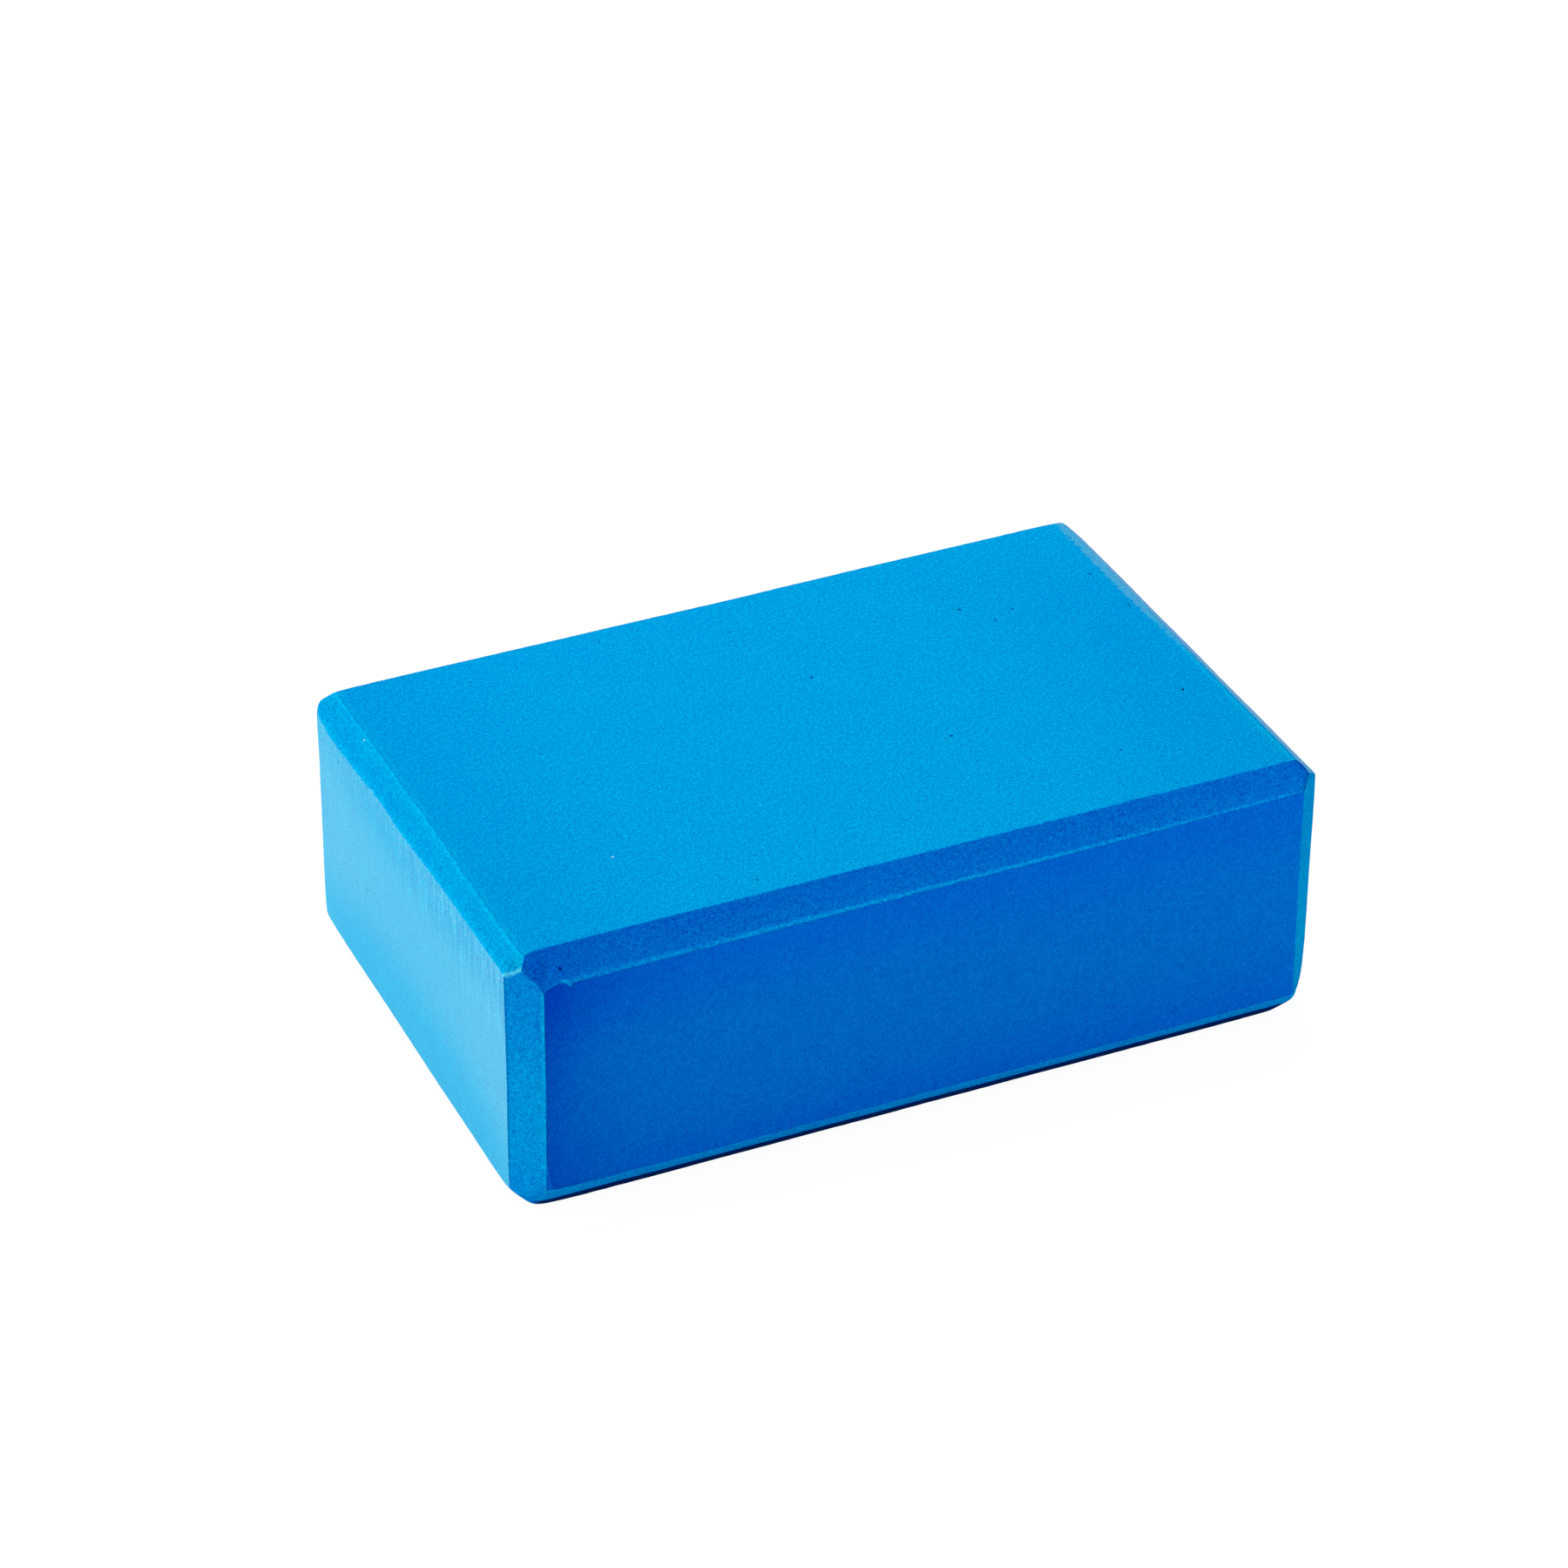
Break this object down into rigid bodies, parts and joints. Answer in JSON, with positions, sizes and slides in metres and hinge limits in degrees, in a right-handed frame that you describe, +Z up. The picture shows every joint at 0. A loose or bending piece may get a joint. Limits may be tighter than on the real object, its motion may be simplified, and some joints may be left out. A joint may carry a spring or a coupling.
{
  "type": "foam exercise block",
  "caption": "Rectangular one-piece block of closed-cell foam with flat 45 degree chamfers on every edge; it lies on its largest face.",
  "frame": {"origin": "middle of the base, the largest face that the block lies on", "axes": "+X along the length, +Y from front to back, +Z up through the thickness"},
  "size_m": [0.23, 0.15, 0.078],
  "materials": {
    "foam": "matte, fine closed-cell grain"
  },
  "bodies": {
    "root": {"foam_block": "foam"}
  },
  "joints": []
}
